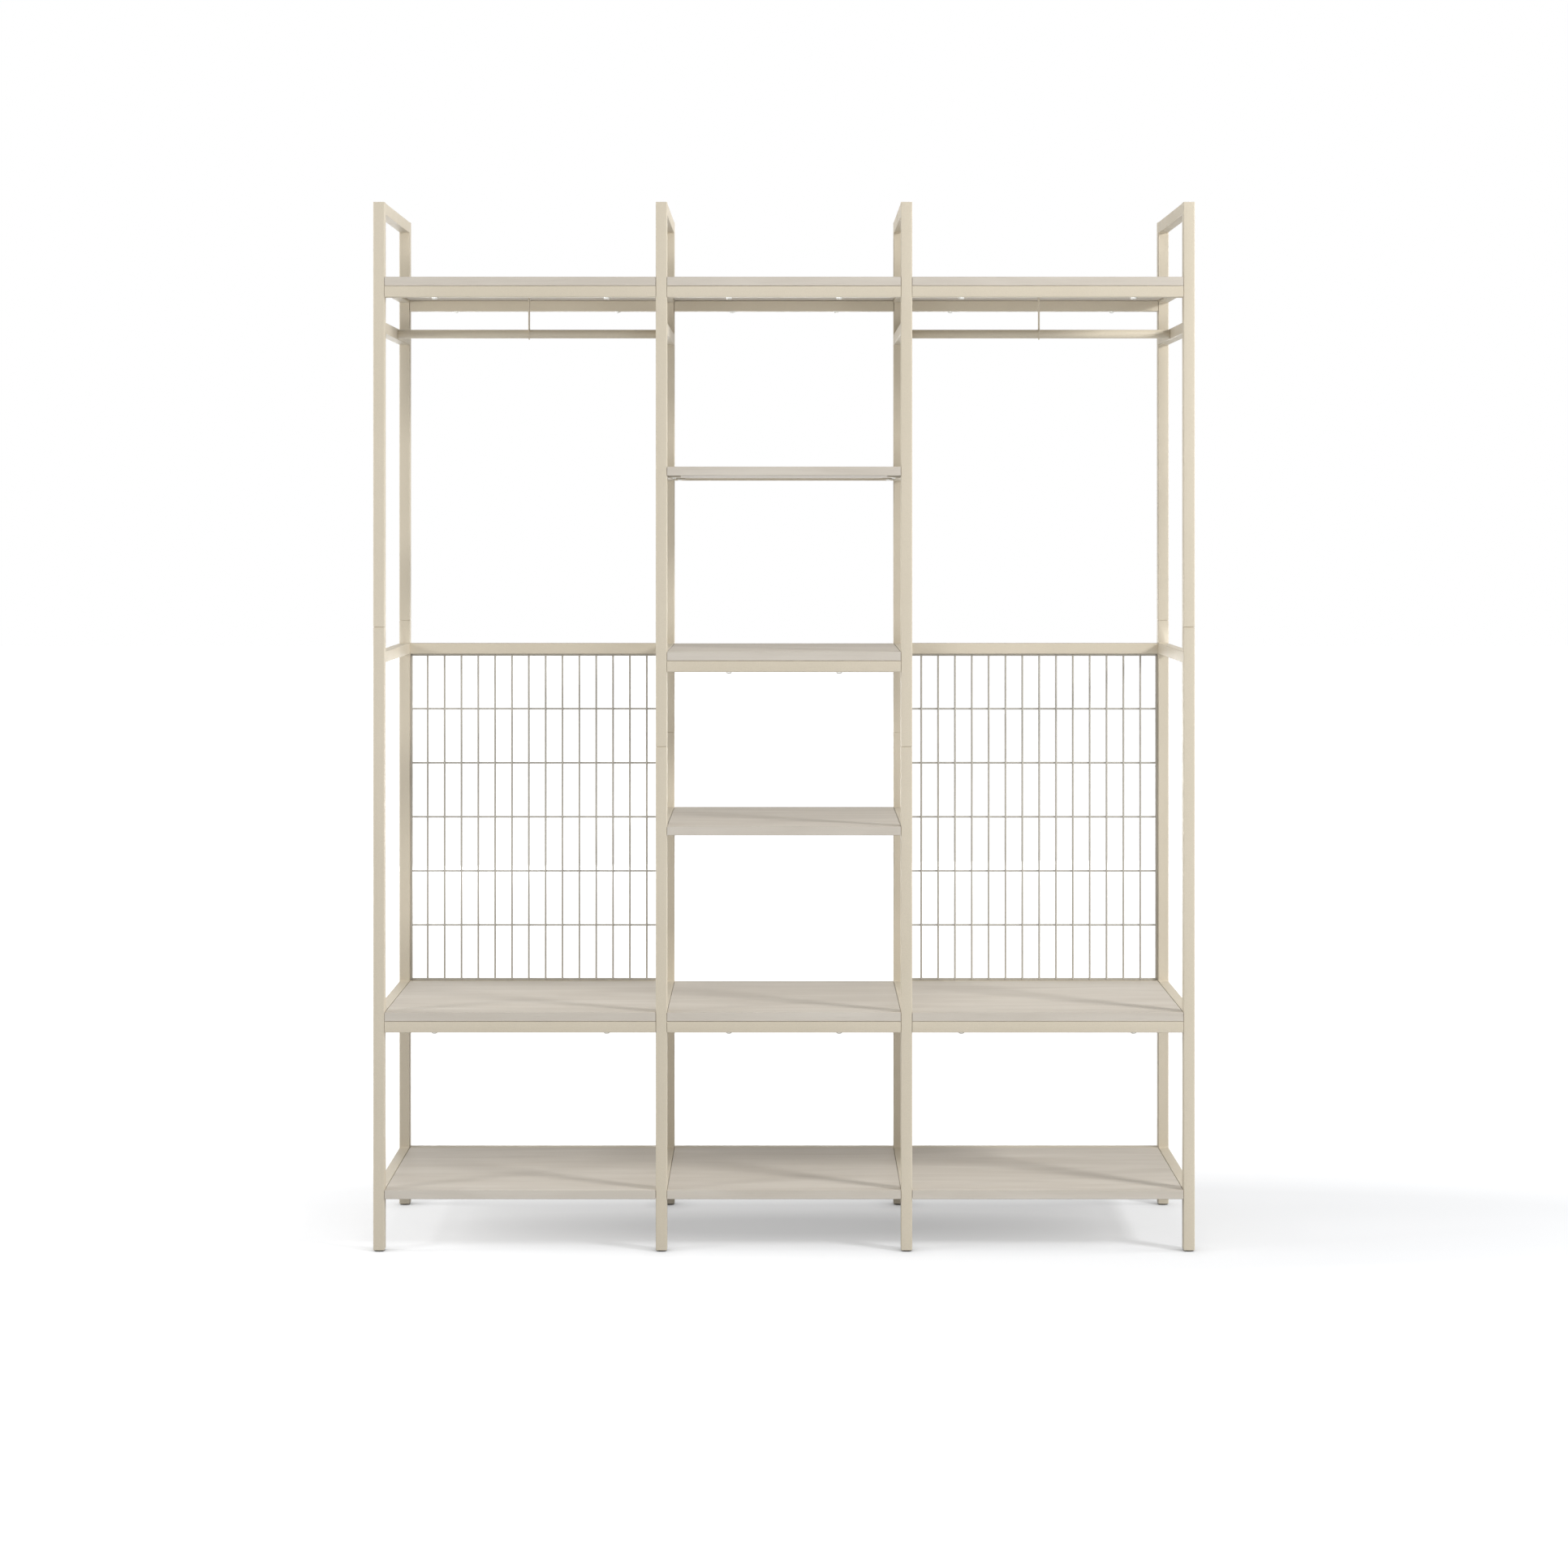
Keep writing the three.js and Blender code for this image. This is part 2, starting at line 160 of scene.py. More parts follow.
class WardrobeFinishes(bpy.types.PropertyGroup):
    coat_colour: bpy.props.FloatVectorProperty(
        name="Coat", description="Powder coat on the frames, rails and rods",
        subtype="COLOR", size=3, min=0, max=1, default=linear(213, 203, 184))
    coat_shade: bpy.props.FloatVectorProperty(
        name="Coat shade", description="Darker tone that the coat drifts to",
        subtype="COLOR", size=3, min=0, max=1, default=linear(207, 197, 177))
    wire_colour: bpy.props.FloatVectorProperty(
        name="Wire coat", description="Powder coat on the thin bars and wires of the grids",
        subtype="COLOR", size=3, min=0, max=1, default=linear(188, 184, 174))
    wire_shade: bpy.props.FloatVectorProperty(
        name="Wire coat shade", description="Darker tone that the wires' coat drifts to",
        subtype="COLOR", size=3, min=0, max=1, default=linear(182, 177, 167))
    coat_roughness: bpy.props.FloatProperty(
        name="Coat roughness", description="How matt the powder coat is",
        subtype="FACTOR", min=0, max=1, default=0.5)
    panel_light: bpy.props.FloatVectorProperty(
        name="Panel light grain", description="Pale tone of the laminate's grain",
        subtype="COLOR", size=3, min=0, max=1, default=linear(213, 206, 195))
    panel_dark: bpy.props.FloatVectorProperty(
        name="Panel dark grain", description="Deep tone of the laminate's grain",
        subtype="COLOR", size=3, min=0, max=1, default=linear(202, 194, 182))
    zinc_colour: bpy.props.FloatVectorProperty(
        name="Zinc", description="Plating on the bolts, screws, studs and inserts",
        subtype="COLOR", size=3, min=0, max=1, default=linear(212, 212, 208))
    nylon_colour: bpy.props.FloatVectorProperty(
        name="Nylon", description="Pads of the levelling feet",
        subtype="COLOR", size=3, min=0, max=1, default=linear(84, 80, 72))


class WardrobeHardware(bpy.types.PropertyGroup):
    bolt_head: bpy.props.FloatProperty(
        name="Bolt head", description="Diameter of the panel bolts' round heads",
        subtype="DISTANCE", unit="LENGTH", min=8 * MM, default=14.5 * MM)
    bolt_head_height: bpy.props.FloatProperty(
        name="Bolt head height", description="Height of the panel bolts' heads",
        subtype="DISTANCE", unit="LENGTH", min=1 * MM, default=3.8 * MM)
    bolt_shank: bpy.props.FloatProperty(
        name="Bolt shank", description="Diameter of the panel bolts' shanks",
        subtype="DISTANCE", unit="LENGTH", min=3 * MM, default=6 * MM)
    bolt_length: bpy.props.FloatProperty(
        name="Bolt length", description="Length of the panel bolts' shanks",
        subtype="DISTANCE", unit="LENGTH", min=10 * MM, default=36 * MM)
    bolt_socket: bpy.props.FloatProperty(
        name="Bolt socket", description="Width of the hexagon socket across its flats",
        subtype="DISTANCE", unit="LENGTH", min=2 * MM, default=5 * MM)
    screw_head: bpy.props.FloatProperty(
        name="Screw head", description="Diameter of the tab screws' heads",
        subtype="DISTANCE", unit="LENGTH", min=4 * MM, default=9 * MM)
    weld_size: bpy.props.FloatProperty(
        name="Weld size", description="Radius of the weld beads in the frame corners",
        subtype="DISTANCE", unit="LENGTH", min=0.5 * MM, default=1.8 * MM)
    seam_groove: bpy.props.FloatProperty(
        name="Seam groove", description="Width of the groove where a frame's halves meet",
        subtype="DISTANCE", unit="LENGTH", min=0.2 * MM, max=2.8 * MM, default=2.6 * MM)
    thread_pitch: bpy.props.FloatProperty(
        name="Thread pitch", description="Distance between turns of the foot studs' thread",
        subtype="DISTANCE", unit="LENGTH", min=0.5 * MM, default=1.25 * MM)


class WardrobeStage(bpy.types.PropertyGroup):
    right_power: bpy.props.FloatProperty(
        name="Right lamp", description="Power of the high lamp at the front right",
        subtype="POWER", unit="POWER", min=0, default=170)
    left_power: bpy.props.FloatProperty(
        name="Left lamp", description="Power of the near lamp at the front left",
        subtype="POWER", unit="POWER", min=0, default=18)
    side_power: bpy.props.FloatProperty(
        name="Side lamps", description="Power of each broad lamp beside the wardrobe",
        subtype="POWER", unit="POWER", min=0, default=176)
    top_power: bpy.props.FloatProperty(
        name="Top lamp", description="Power of the broad lamp overhead",
        subtype="POWER", unit="POWER", min=0, default=46)
    low_power: bpy.props.FloatProperty(
        name="Low lamp", description="Power of the broad lamp low in front",
        subtype="POWER", unit="POWER", min=0, default=106)
    back_power: bpy.props.FloatProperty(
        name="Back lamp", description="Power of the broad lamp low behind",
        subtype="POWER", unit="POWER", min=0, default=62)
    sky_level: bpy.props.FloatProperty(
        name="Surrounding light", description="Even light from all sides",
        subtype="FACTOR", min=0, max=2, default=0.25)
    floor_colour: bpy.props.FloatVectorProperty(
        name="Floor", description="Pale studio floor",
        subtype="COLOR", size=3, min=0, max=1, default=(0.52, 0.528, 0.54))
    camera_height: bpy.props.FloatProperty(
        name="Camera height", description="Height of the level camera above the floor",
        subtype="DISTANCE", unit="LENGTH", default=1.63)
    camera_distance: bpy.props.FloatProperty(
        name="Camera distance", description="From the camera to the front of the posts",
        subtype="DISTANCE", unit="LENGTH", default=6.35)
    lens: bpy.props.FloatProperty(
        name="Lens", description="Focal length on a 36 mm wide sensor",
        subtype="DISTANCE_CAMERA", unit="CAMERA", default=65.5)
    shift: bpy.props.FloatProperty(
        name="Lens shift", description="Share of the picture that the level view is moved down by",
        subtype="NONE", default=-0.1687)


# Nodes, for materials and for repeated pieces

def add(tree, kind, inputs=(), **settings):
    """A node with its settings; each input is joined to a socket or set to a value"""
    node = tree.nodes.new(kind)
    for key, value in settings.items():
        setattr(node, key, value)
    for key, value in dict(inputs).items():
        if isinstance(value, bpy.types.NodeSocket):
            tree.links.new(value, node.inputs[key])
        else:
            node.inputs[key].default_value = value
    return node


def calc(tree, operation, *values):
    """The result of a Math node"""
    return add(tree, "ShaderNodeMath", enumerate(values), operation=operation).outputs[0]


def blank_material(name):
    material = bpy.data.materials.new(name)
    material.use_nodes = True
    tree = material.node_tree
    return material, tree, tree.nodes["Principled BSDF"]


def noise(tree, place, scale, stretch=(1, 1, 1), detail=2.0, roughness=0.5, distortion=0.0):
    """A noise value over the object's own coordinates"""
    mapped = add(tree, "ShaderNodeMapping", {"Vector": place, "Scale": stretch})
    texture = add(tree, "ShaderNodeTexNoise", {
        "Vector": mapped.outputs["Vector"], "Scale": scale, "Detail": detail,
        "Roughness": roughness, "Distortion": distortion})
    return texture.outputs["Fac"]


def between(tree, value, low, high, from_low=0.3, from_high=0.7):
    node = add(tree, "ShaderNodeMapRange", {
        "Value": value, "From Min": from_low, "From Max": from_high, "To Min": low, "To Max": high})
    return node.outputs["Result"]


def blended(tree, share, first, second, kind="MIX"):
    node = add(tree, "ShaderNodeMix", {0: share, 6: first, 7: second},
               data_type="RGBA", blend_type=kind)
    return node.outputs[2]


def bumped(tree, shader, height, distance):
    bump = add(tree, "ShaderNodeBump", {"Strength": 1.0, "Distance": distance, "Height": height})
    tree.links.new(bump.outputs["Normal"], shader.inputs["Normal"])


def powder_coat(name, colour, shade, rough):
    """Matt powder coat with a fine orange peel"""
    material, tree, shader = blank_material(name)
    place = add(tree, "ShaderNodeTexCoord").outputs["Object"]
    drift = between(tree, noise(tree, place, 2.2, detail=3), 0, 1)
    fleck = between(tree, noise(tree, place, 900, detail=1), 0.96, 1.04)
    tone = blended(tree, drift, opaque(shade), opaque(colour))
    tree.links.new(blended(tree, 1.0, tone, fleck, "MULTIPLY"), shader.inputs["Base Color"])
    shader.inputs["Specular IOR Level"].default_value = 0.3
    tree.links.new(between(tree, noise(tree, place, 40, detail=4), rough - 0.05, rough + 0.05),
                   shader.inputs["Roughness"])
    bumped(tree, shader, noise(tree, place, 480, detail=2), 0.05 * MM)
    return material


def laminate(name, finishes, shade):
    """Pale wood-grain laminate, its grain along the shelf"""
    material, tree, shader = blank_material(name)
    place = add(tree, "ShaderNodeTexCoord").outputs["Object"]
    figure = noise(tree, place, 5.0, (0.5, 4.0, 4.0), detail=5, roughness=0.5, distortion=0.7)
    fibre = noise(tree, place, 60.0, (0.12, 4.0, 4.0), detail=4, roughness=0.6)
    pores = noise(tree, place, 150.0, (0.08, 3.0, 3.0), detail=2)
    light = opaque([shade * value for value in finishes.panel_light])
    dark = opaque([shade * value for value in finishes.panel_dark])
    tone = blended(tree, between(tree, figure, 0, 1, 0.32, 0.68), dark, light)
    tone = blended(tree, 1.0, tone, between(tree, fibre, 0.975, 1.02, 0.25, 0.75), "MULTIPLY")
    tone = blended(tree, 1.0, tone, between(tree, pores, 0.92, 1.0, 0.27, 0.36), "MULTIPLY")
    tree.links.new(tone, shader.inputs["Base Color"])
    shader.inputs["Specular IOR Level"].default_value = 0.2
    tree.links.new(between(tree, fibre, 0.55, 0.67, 0.25, 0.75), shader.inputs["Roughness"])
    bumped(tree, shader, blended(tree, 0.5, fibre, pores), 0.06 * MM)
    return material


def zinc_plate(name, finishes, roughness, spangle):
    """Plated steel, with the patches of hot-dip zinc where spangle is above zero"""
    material, tree, shader = blank_material(name)
    place = add(tree, "ShaderNodeTexCoord").outputs["Object"]
    shader.inputs["Metallic"].default_value = 1.0
    patch = add(tree, "ShaderNodeTexVoronoi", {"Vector": place, "Scale": 260.0}).outputs["Color"]
    grey = add(tree, "ShaderNodeRGBToBW", {"Color": patch}).outputs["Val"]
    cloud = noise(tree, place, 90, detail=4)
    tone = blended(tree, 1.0, opaque(finishes.zinc_colour), between(tree, cloud, 0.9, 1.05), "MULTIPLY")
    tone = blended(tree, 1.0, tone, between(tree, grey, 1 - spangle, 1.0, 0, 1), "MULTIPLY")
    tree.links.new(tone, shader.inputs["Base Color"])
    tree.links.new(between(tree, cloud, roughness - 0.07, roughness + 0.1), shader.inputs["Roughness"])
    bumped(tree, shader, cloud, 0.03 * MM)
    return material


def moulded_nylon(finishes):
    """Dark nylon with a fine moulded grain"""
    material, tree, shader = blank_material("moulded_nylon")
    place = add(tree, "ShaderNodeTexCoord").outputs["Object"]
    grain = noise(tree, place, 1400, detail=2)
    tone = blended(tree, 1.0, opaque(finishes.nylon_colour), between(tree, grain, 0.85, 1.1), "MULTIPLY")
    tree.links.new(tone, shader.inputs["Base Color"])
    tree.links.new(between(tree, grain, 0.5, 0.68), shader.inputs["Roughness"])
    bumped(tree, shader, grain, 0.04 * MM)
    return material


def finish_named(name):
    """The material of that name, made the first time it is asked for"""
    if name in bpy.data.materials:
        return bpy.data.materials[name]
    finishes = bpy.context.scene.wardrobe_finishes
    makers = {
        "powder_coat": lambda: powder_coat(
            "powder_coat", finishes.coat_colour, finishes.coat_shade, finishes.coat_roughness),
        "wire_coat": lambda: powder_coat(
            "wire_coat", finishes.wire_colour, finishes.wire_shade, finishes.coat_roughness),
        "laminate_face": lambda: laminate("laminate_face", finishes, 1.0),
        "laminate_edging": lambda: laminate("laminate_edging", finishes, 0.985),
        "bright_zinc": lambda: zinc_plate("bright_zinc", finishes, 0.28, 0.0),
        "dull_zinc": lambda: zinc_plate("dull_zinc", finishes, 0.45, 0.3),
        "moulded_nylon": lambda: moulded_nylon(finishes),
    }
    return makers[name]()


# Pieces

def new_piece(name, mesh, *materials):
    piece = bpy.data.objects.new(name, mesh)
    bpy.context.scene.collection.objects.link(piece)
    for material in materials:
        mesh.materials.append(material)
    return piece


def settled(piece, angle=SHARP):
    """Turns the piece's modifiers into plain mesh, smooth except at its sharp edges"""
    graph = bpy.context.evaluated_depsgraph_get()
    mesh = bpy.data.meshes.new_from_object(piece.evaluated_get(graph), depsgraph=graph)
    piece.modifiers.clear()
    piece.data = mesh
    mesh.name = piece.name
    if angle is not None:
        mesh.shade_smooth()
        mesh.set_sharp_from_angle(angle=angle)
    return piece


def fitted(piece, body, slot, *nodes):
    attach(piece, body)
    if nodes:
        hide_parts(*nodes)
    return piece


def merged_shape(node):
    """The CAD node's triangles joined up, with flat faces made whole"""
    shape = bmesh.new()
    shape.from_mesh(frame["nodes"][node].data)
    bmesh.ops.remove_doubles(shape, verts=shape.verts[:], dist=MERGE_GAP)
    bmesh.ops.dissolve_limit(
        shape, angle_limit=math.radians(0.5), verts=shape.verts[:], edges=shape.edges[:])
    return shape


def mesh_of(shape, name):
    mesh = bpy.data.meshes.new(name)
    shape.to_mesh(mesh)
    shape.free()
    return mesh


def soft_edged(node, slot, *materials, mark=None):
    """Stands for a CAD node: its eased corners shade as rounds, and its other edges stay crisp"""
    shape = merged_shape(node)
    if mark:
        mark(shape)
    piece = new_piece(f"{node}_finished", mesh_of(shape, node), *materials)
    piece.data.shade_smooth()
    piece.data.set_sharp_from_angle(angle=SHARP)
    weighted = piece.modifiers.new("even_faces", "WEIGHTED_NORMAL")
    weighted.keep_sharp = True
    settled(piece, angle=None)
    return fitted(piece, frame["nodes"][node]["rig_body"], slot, node)


def chamfer_tube_ends(shape, level, size, middles):
    """Takes the sharp outer rim off the tubes that end at a level round the given middles"""
    shape.normal_update()
    rim = []
    for edge in shape.edges:
        if edge.is_convex and all(abs(vert.co.z - level) < 2 * LEAST_GAP for vert in edge.verts):
            side, end = sorted(edge.link_faces, key=lambda face: abs(face.normal.z))
            place = (edge.verts[0].co + edge.verts[1].co) / 2
            centre = min(middles, key=lambda point: (place - point).length)
            outward = side.normal.dot(place - centre) > 0
            if abs(side.normal.z) < 0.1 and abs(end.normal.z) > 0.9 and outward:
                rim.append(edge)
    bmesh.ops.bevel(shape, geom=rim, offset=size, segments=1, affect="EDGES")


def revolved(name, profile, centre, axis, sides):
    """A closed form turned about an axis, from points of radius and height"""
    shape = bmesh.new()
    up = Vector(axis).normalized()
    across = up.orthogonal().normalized()
    along = up.cross(across)
    rings = []
    for radius, height in profile:
        if radius < 1e-9:
            rings.append([shape.verts.new(Vector(centre) + up * height)])
            continue
        ring = []
        for i in range(sides):
            turn = 2 * math.pi * i / sides
            out = across * math.cos(turn) + along * math.sin(turn)
            ring.append(shape.verts.new(Vector(centre) + out * radius + up * height))
        rings.append(ring)
    closed = len(rings[0]) > 1
    pairs = list(zip(rings, rings[1:])) + ([(rings[-1], rings[0])] if closed else [])
    for low, high in pairs:
        for i in range(sides):
            corners = [low[i % len(low)], low[(i + 1) % len(low)],
                       high[(i + 1) % len(high)], high[i % len(high)]]
            shape.faces.new(list(dict.fromkeys(corners)))
    bmesh.ops.recalc_face_normals(shape, faces=shape.faces[:])
    return mesh_of(shape, name)


def mesh_of_places(name, points, edges=()):
    mesh = bpy.data.meshes.new(name)
    mesh.from_pydata([tuple(point) for point in points], list(edges), [])
    return mesh


# Repeated pieces, made by node trees

def new_tree(name, sizes):
    """A geometry tree with one input for each size, and the node that gives them"""
    tree = bpy.data.node_groups.new(name, "GeometryNodeTree")
    tree.interface.new_socket("Geometry", in_out="INPUT", socket_type="NodeSocketGeometry")
    kinds = {int: "NodeSocketInt", tuple: "NodeSocketVector", float: "NodeSocketFloat"}
    for label, value in sizes.items():
        tree.interface.new_socket(label, in_out="INPUT", socket_type=kinds[type(value)])
    tree.interface.new_socket("Geometry", in_out="OUTPUT", socket_type="NodeSocketGeometry")
    return tree, tree.nodes.new("NodeGroupInput").outputs


def finish_tree(tree, geometry, material):
    real = add(tree, "GeometryNodeRealizeInstances", {"Geometry": geometry})
    finish = add(tree, "GeometryNodeSetMaterial", {"Geometry": real.outputs[0], "Material": material})
    tree.links.new(finish.outputs[0], tree.nodes.new("NodeGroupOutput").inputs[0])


def grown(name, mesh, tree, sizes):
    """A piece made by a tree from a mesh of places, with the tree's sizes set on its modifier"""
    piece = new_piece(name, mesh)
    modifier = piece.modifiers.new(tree.name, "NODES")
    modifier.node_group = tree
    for item in tree.interface.items_tree:
        if item.item_type == "SOCKET" and item.in_out == "INPUT" and item.name in sizes:
            modifier[item.identifier] = sizes[item.name]
    return piece


def joined(tree, *parts):
    node = tree.nodes.new("GeometryNodeJoinGeometry")
    for part in parts:
        tree.links.new(part, node.inputs[0])
    return node.outputs[0]


def moved(tree, geometry, offset, turn=(0, 0, 0)):
    node = add(tree, "GeometryNodeTransform", {
        "Geometry": geometry, "Translation": offset, "Rotation": turn})
    return node.outputs[0]


def vector(tree, x=0.0, y=0.0, z=0.0):
    return add(tree, "ShaderNodeCombineXYZ", {"X": x, "Y": y, "Z": z}).outputs[0]


def cylinder(tree, sides, radius, depth, steps=1):
    node = add(tree, "GeometryNodeMeshCylinder", {
        "Vertices": sides, "Side Segments": steps, "Radius": radius, "Depth": depth})
    return node.outputs["Mesh"]


def fastener_tree(name, sizes, material, cross):
    """Round-headed fasteners on the given places, head down, with a hexagon or a cross in the crown"""
    tree, size = new_tree(name, sizes)
    head = cylinder(tree, 28, size["Head radius"], size["Head height"], 6)
    position = tree.nodes.new("GeometryNodeInputPosition").outputs[0]
    place = add(tree, "ShaderNodeSeparateXYZ", {"Vector": position})
    down = calc(tree, "SUBTRACT", 0.5,
                calc(tree, "DIVIDE", place.outputs["Z"], size["Head height"]))
    fall = calc(tree, "MULTIPLY",
                calc(tree, "MULTIPLY", down, down), 0.6)
    narrow = calc(tree, "SQRT", calc(tree, "SUBTRACT", 1.0, fall))
    drop = calc(tree, "SUBTRACT", place.outputs["Z"],
                calc(tree, "MULTIPLY", size["Head height"], 0.5))
    domed = add(tree, "GeometryNodeSetPosition", {"Geometry": head, "Position": vector(
        tree,
        calc(tree, "MULTIPLY", place.outputs["X"], narrow),
        calc(tree, "MULTIPLY", place.outputs["Y"], narrow),
        drop)}).outputs[0]
    crown = vector(tree, z=calc(tree, "MULTIPLY", size["Head height"], -1.0))
    if cross:
        wide, slot, deep = size["Recess width"], size["Recess slot"], size["Recess depth"]
        arms = [add(tree, "GeometryNodeMeshCube", {"Size": vector(tree, *arm)})
                for arm in ((wide, slot, deep), (slot, wide, deep))]
        cutters = [moved(tree, arm.outputs["Mesh"], crown) for arm in arms]
    else:
        radius = calc(tree, "MULTIPLY", size["Recess width"], 0.5 / math.cos(math.pi / 6))
        cutters = [moved(tree, cylinder(tree, 6, radius, size["Recess depth"]), crown)]
    cut = add(tree, "GeometryNodeMeshBoolean", {"Mesh 1": domed}, operation="DIFFERENCE")
    for cutter in cutters:
        tree.links.new(cutter, cut.inputs["Mesh 2"])
    rise = calc(tree, "MULTIPLY", size["Shank length"], 0.5)
    shank = moved(tree, cylinder(tree, 16, size["Shank radius"], size["Shank length"]),
                  vector(tree, z=rise))
    turn = add(tree, "FunctionNodeRandomValue", {"Min": (0, 0, 0), "Max": (0, 0, math.pi), "Seed": 7},
               data_type="FLOAT_VECTOR")
    copies = add(tree, "GeometryNodeInstanceOnPoints", {
        "Points": size["Geometry"], "Instance": joined(tree, cut.outputs["Mesh"], shank),
        "Rotation": turn.outputs["Value"]})
    finish_tree(tree, copies.outputs[0], material)
    return tree


def bead_tree(sizes, material):
    """Rippled weld beads along the edges of a mesh"""
    tree, size = new_tree("weld_beads", sizes)
    line = add(tree, "GeometryNodeMeshToCurve", {"Mesh": size["Geometry"]}).outputs[0]
    step = calc(tree, "MULTIPLY", size["Ripple"], 0.25)
    fine = add(tree, "GeometryNodeResampleCurve", {"Curve": line, "Length": step},
               mode="LENGTH").outputs[0]
    way = tree.nodes.new("GeometryNodeSplineParameter").outputs["Length"]
    phase = calc(tree, "MULTIPLY",
                 calc(tree, "DIVIDE", way, size["Ripple"]), 2 * math.pi)
    wave = calc(tree, "MULTIPLY", calc(tree, "SINE", phase), 0.07)
    swell = calc(tree, "ADD", 1.0, wave)
    shaped = add(tree, "GeometryNodeSetCurveRadius", {"Curve": fine, "Radius": swell}).outputs[0]
    ring = add(tree, "GeometryNodeCurvePrimitiveCircle", {
        "Resolution": 10, "Radius": size["Bead radius"]})
    bead = add(tree, "GeometryNodeCurveToMesh", {
        "Curve": shaped, "Profile Curve": ring.outputs["Curve"], "Fill Caps": True})
    finish_tree(tree, bead.outputs[0], material)
    return tree


def straight(tree, start, end, profile):
    line = add(tree, "GeometryNodeCurvePrimitiveLine", {"Start": start, "End": end}).outputs[0]
    return add(tree, "GeometryNodeCurveToMesh", {
        "Curve": line, "Profile Curve": profile, "Fill Caps": True}).outputs[0]


def repeated(tree, geometry, count, start, step):
    points = add(tree, "GeometryNodeMeshLine", {"Count": count, "Start Location": start, "Offset": step})
    return add(tree, "GeometryNodeInstanceOnPoints", {
        "Points": points.outputs[0], "Instance": geometry}).outputs[0]


def grid_tree(sizes, material):
    """A welded grid: a square bar round upright wires before level ones, welded where they cross"""
    tree, size = new_tree("wire_grid", sizes)

    def share(label, factor):
        return calc(tree, "MULTIPLY", size[label], factor)

    def round_profile(label):
        return add(tree, "GeometryNodeCurvePrimitiveCircle", {
            "Resolution": 14, "Radius": share(label, 0.5)}).outputs["Curve"]

    square = add(tree, "GeometryNodeCurvePrimitiveQuadrilateral", {
        "Width": size["Bar"], "Height": size["Bar"]})
    eased = add(tree, "GeometryNodeFilletCurve", {
        "Curve": square.outputs[0], "Radius": share("Bar", 0.16), "Count": 3}, mode="POLY").outputs[0]
    reach_x, reach_z = share("Bar span", 0.5), share("Bar rise", 0.5)
    back_x, back_z = share("Bar span", -0.5), share("Bar rise", -0.5)
    end_z = calc(tree, "ADD", reach_z, share("Bar", 0.5))
    foot_z = calc(tree, "MULTIPLY", end_z, -1.0)
    side_bar = straight(tree, vector(tree, z=foot_z), vector(tree, z=end_z), eased)
    level_bar = straight(tree, vector(tree, back_x), vector(tree, reach_x), eased)
    sides = repeated(tree, side_bar, 2, vector(tree, back_x), vector(tree, size["Bar span"]))
    levels = repeated(tree, level_bar, 2, vector(tree, z=back_z), vector(tree, z=size["Bar rise"]))

    upright = straight(tree, vector(tree, z=back_z), vector(tree, z=reach_z),
                       round_profile("Upright wire"))
    start = vector(tree, share("Upright span", -0.5), size["Upright depth"])
    uprights = repeated(tree, upright, size["Uprights"], start, vector(tree, size["Pitch"]))
    level = straight(tree, vector(tree, back_x), vector(tree, reach_x), round_profile("Level wire"))
    first = vector(tree, 0.0, size["Level depth"], share("Level span", -0.5))
    wires = repeated(tree, level, size["Levels"], first, vector(tree, z=size["Level pitch"]))

    crossings = add(tree, "GeometryNodeMeshGrid", {
        "Size X": size["Upright span"], "Size Y": size["Level span"],
        "Vertices X": size["Uprights"], "Vertices Y": size["Levels"]}).outputs["Mesh"]
    crossings = moved(tree, crossings, (0, 0, 0), (math.pi / 2, 0, 0))
    spot = add(tree, "GeometryNodeMeshIcoSphere", {"Radius": size["Weld spot"], "Subdivisions": 2})
    spots = add(tree, "GeometryNodeInstanceOnPoints", {
        "Points": crossings, "Instance": spot.outputs["Mesh"]}).outputs[0]

    pin = cylinder(tree, 16, share("Pin", 0.5), size["Pin reach"])
    pins = [repeated(tree, pin, 2, vector(tree, share("Pin span", -0.5), 0.0, share("Pin rise", side)),
                     vector(tree, size["Pin span"])) for side in (-0.5, 0.5)]
    whole = joined(tree, sides, levels, uprights, wires, spots, *pins)
    finish_tree(tree, moved(tree, whole, size["Centre"]), material)
    return tree


def thread_tree(sizes, material):
    """A screw thread: a ridge that winds up a core from the given place"""
    tree, size = new_tree("stud_thread", sizes)
    turns = calc(tree, "DIVIDE", size["Length"], size["Pitch"])
    core_radius = calc(tree, "SUBTRACT", size["Radius"],
                       calc(tree, "MULTIPLY", size["Pitch"], 0.5))
    ridge = add(tree, "GeometryNodeCurveSpiral", {
        "Resolution": 20, "Rotations": turns, "Start Radius": core_radius, "End Radius": core_radius,
        "Height": size["Length"]}).outputs[0]
    ridge_radius = calc(tree, "MULTIPLY", size["Pitch"], 0.48)
    profile = add(tree, "GeometryNodeCurvePrimitiveCircle", {
        "Resolution": 4, "Radius": ridge_radius}).outputs["Curve"]
    wound = add(tree, "GeometryNodeCurveToMesh", {
        "Curve": ridge, "Profile Curve": profile, "Fill Caps": True}).outputs[0]
    rise = calc(tree, "MULTIPLY", size["Length"], 0.5)
    core = moved(tree, cylinder(tree, 24, core_radius, size["Core length"]), vector(tree, z=rise))
    copies = add(tree, "GeometryNodeInstanceOnPoints", {
        "Points": size["Geometry"], "Instance": joined(tree, wound, core)})
    finish_tree(tree, copies.outputs[0], material)
    return tree


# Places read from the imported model

def nodes_named(start):
    return sorted(name for name in frame["nodes"] if name.startswith(start))


def middle(node):
    low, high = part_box(node)
    return (low + high) / 2


def foot_middles(name):
    """Middles of the front and the back foot of a side frame"""
    foot = name.replace("frame_", "foot_")
    return middle(f"{foot}_front"), middle(f"{foot}_back")


